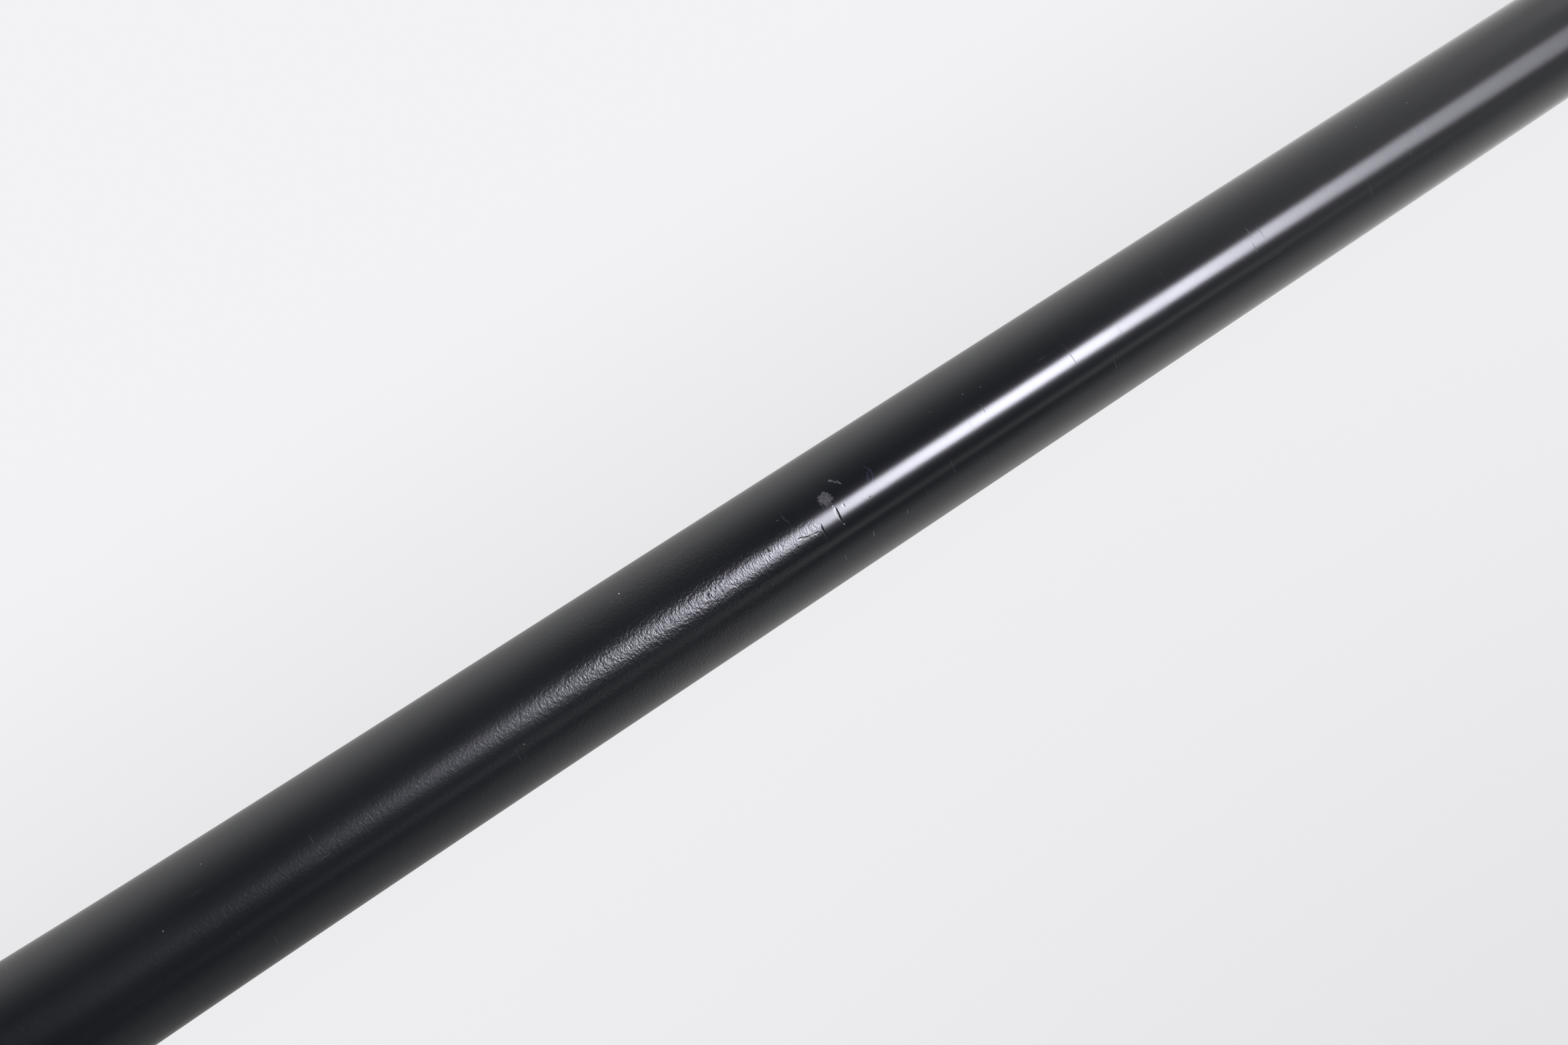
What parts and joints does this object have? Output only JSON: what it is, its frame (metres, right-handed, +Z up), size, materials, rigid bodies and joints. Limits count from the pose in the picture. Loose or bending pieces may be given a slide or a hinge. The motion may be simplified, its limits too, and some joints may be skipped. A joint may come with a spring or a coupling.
{
  "type": "baseball bat",
  "caption": "Long, slender baseball bat with a black coated alloy tube body, flared barrel with a moulded end cap, welded round knob and spiral-wrapped handle grip.",
  "frame": {"origin": "centre of the bat's footprint, on the flat surface it lies on", "axes": "+X along the bat towards its knob, -X towards the barrel's end cap, +Z up from the surface it lies on; the bat's own axis leans 0.33 degrees because the barrel is thicker than the knob"},
  "size_m": [0.94, 0.057, 0.0577],
  "materials": {
    "black_coat": "satin",
    "weld_alloy": "satin",
    "black_polymer": "matte",
    "grip_leather": "matte",
    "base_tape": "matte",
    "vinyl_tape": "satin",
    "grey_foam": "matte",
    "amber_adhesive": "gloss"
  },
  "bodies": {
    "root": {"bat_shell": "black_coat", "knob": "black_coat", "knob_weld": "weld_alloy", "knob_plug": "black_polymer", "grip_base_tape": "base_tape", "grip_wrap": "grip_leather", "grip_finish_tape": "vinyl_tape", "handle_damper": "grey_foam", "throat_plug": "grey_foam", "end_cap": "black_polymer", "cap_adhesive": "amber_adhesive"}
  },
  "joints": []
}
